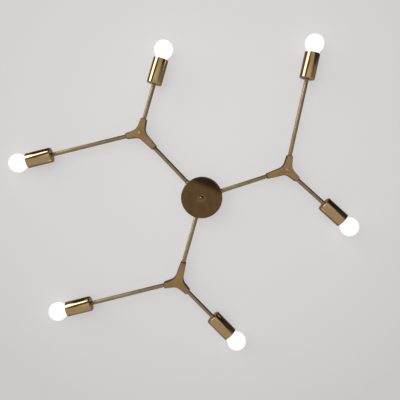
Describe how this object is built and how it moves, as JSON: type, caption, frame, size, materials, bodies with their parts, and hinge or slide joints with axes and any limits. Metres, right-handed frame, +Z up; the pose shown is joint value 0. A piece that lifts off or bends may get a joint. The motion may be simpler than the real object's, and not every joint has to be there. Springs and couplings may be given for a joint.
{
  "type": "multi arm chandelier",
  "caption": "Flush ceiling light: a round ceiling cup with radial stems that fork at three-way joints into long and short arms ending in cup sockets and lit globe lamps.",
  "frame": {"origin": "centre of the ceiling bracket, on the ceiling and on the axis of the ceiling cup", "axes": "+Z points up into the ceiling; the first branch leaves at -133.7 degrees from +X, the second at -18 and the third at 105.7"},
  "size_m": [0.8407, 0.7582, 0.063],
  "materials": {
    "dark_bronze": "satin",
    "finial_bronze": "satin",
    "satin_brass": "satin",
    "cast_brass": "satin",
    "polished_brass": "polished",
    "screw_bronze": "satin",
    "earth_brass": "polished",
    "zinc_steel": "zinc plated",
    "terminal_plastic": "matte",
    "fibre": "vulcanised fibre",
    "cable": "matte sheath",
    "holder_ceramic": "glazed",
    "cap_metal": "satin",
    "lit_opal": "opal, lit"
  },
  "bodies": {
    "ceiling_unit": {"mounting_bracket": "zinc_steel", "centre_rod": "zinc_steel", "rod_locknut": "zinc_steel", "ceiling_cup": "dark_bronze", "finial_base": "finial_bronze", "finial_nut": "finial_bronze", "terminal_block": "terminal_plastic", "terminal_screws": "zinc_steel", "earth_screw": "earth_brass", "swivel_collars": "satin_brass", "swivel_washers": "fibre", "ceiling_cup_cables": "cable"},
    "branch_a": {"stem_tube_a": "satin_brass", "stem_locknut_a": "zinc_steel", "joint_front_a": "cast_brass", "joint_back_a": "cast_brass", "joint_screw_a": "screw_bronze", "branch_cables_a": "cable", "arm_tube_a_long": "satin_brass", "socket_cup_a_long": "polished_brass", "lampholder_a_long": "holder_ceramic", "arm_tube_a_short": "satin_brass", "socket_cup_a_short": "polished_brass", "lampholder_a_short": "holder_ceramic"},
    "lamp_a_long": {"lamp_cap_a_long": "cap_metal", "lamp_globe_a_long": "lit_opal"},
    "lamp_a_short": {"lamp_cap_a_short": "cap_metal", "lamp_globe_a_short": "lit_opal"},
    "branch_b": {"stem_tube_b": "satin_brass", "stem_locknut_b": "zinc_steel", "joint_front_b": "cast_brass", "joint_back_b": "cast_brass", "joint_screw_b": "screw_bronze", "branch_cables_b": "cable", "arm_tube_b_long": "satin_brass", "socket_cup_b_long": "polished_brass", "lampholder_b_long": "holder_ceramic", "arm_tube_b_short": "satin_brass", "socket_cup_b_short": "polished_brass", "lampholder_b_short": "holder_ceramic"},
    "lamp_b_long": {"lamp_cap_b_long": "cap_metal", "lamp_globe_b_long": "lit_opal"},
    "lamp_b_short": {"lamp_cap_b_short": "cap_metal", "lamp_globe_b_short": "lit_opal"},
    "branch_c": {"stem_tube_c": "satin_brass", "stem_locknut_c": "zinc_steel", "joint_front_c": "cast_brass", "joint_back_c": "cast_brass", "joint_screw_c": "screw_bronze", "branch_cables_c": "cable", "arm_tube_c_long": "satin_brass", "socket_cup_c_long": "polished_brass", "lampholder_c_long": "holder_ceramic", "arm_tube_c_short": "satin_brass", "socket_cup_c_short": "polished_brass", "lampholder_c_short": "holder_ceramic"},
    "lamp_c_long": {"lamp_cap_c_long": "cap_metal", "lamp_globe_c_long": "lit_opal"},
    "lamp_c_short": {"lamp_cap_c_short": "cap_metal", "lamp_globe_c_short": "lit_opal"}
  },
  "joints": [
    {"name": "swivel_a", "type": "hinge", "parent": "ceiling_unit", "child": "branch_a", "pos_m": [-0.03302, -0.03456, -0.03], "axis": [-0.6909, -0.723, 0], "range_deg": [-170, 170]},
    {"name": "lamp_turn_a_long", "type": "hinge", "parent": "branch_a", "child": "lamp_a_long", "pos_m": [-0.44154, -0.08223, -0.03], "axis": [-0.9715, 0.2368, 0], "continuous": true},
    {"name": "lamp_turn_a_short", "type": "hinge", "parent": "branch_a", "child": "lamp_a_short", "pos_m": [-0.0899, -0.34979, -0.03], "axis": [0.2807, -0.9598, 0], "continuous": true},
    {"name": "swivel_b", "type": "hinge", "parent": "ceiling_unit", "child": "branch_b", "pos_m": [0.04546, -0.01477, -0.03], "axis": [0.9511, -0.309, 0], "range_deg": [-170, 170]},
    {"name": "lamp_turn_b_long", "type": "hinge", "parent": "branch_b", "child": "lamp_b_long", "pos_m": [0.26557, -0.3622, -0.03], "axis": [0.2079, -0.9781, 0], "continuous": true},
    {"name": "lamp_turn_b_short", "type": "hinge", "parent": "branch_b", "child": "lamp_b_short", "pos_m": [0.35418, 0.07068, -0.03], "axis": [0.7431, 0.6691, 0], "continuous": true},
    {"name": "swivel_c", "type": "hinge", "parent": "ceiling_unit", "child": "branch_c", "pos_m": [-0.01293, 0.04602, -0.03], "axis": [-0.2706, 0.9627, 0], "range_deg": [-170, 170]},
    {"name": "lamp_turn_c_long", "type": "hinge", "parent": "branch_c", "child": "lamp_c_long", "pos_m": [-0.35125, 0.27989, -0.03], "axis": [-0.969, 0.247, 0], "continuous": true},
    {"name": "lamp_turn_c_short", "type": "hinge", "parent": "branch_c", "child": "lamp_c_short", "pos_m": [0.08484, 0.35105, -0.03], "axis": [0.6984, 0.7157, 0], "continuous": true}
  ]
}
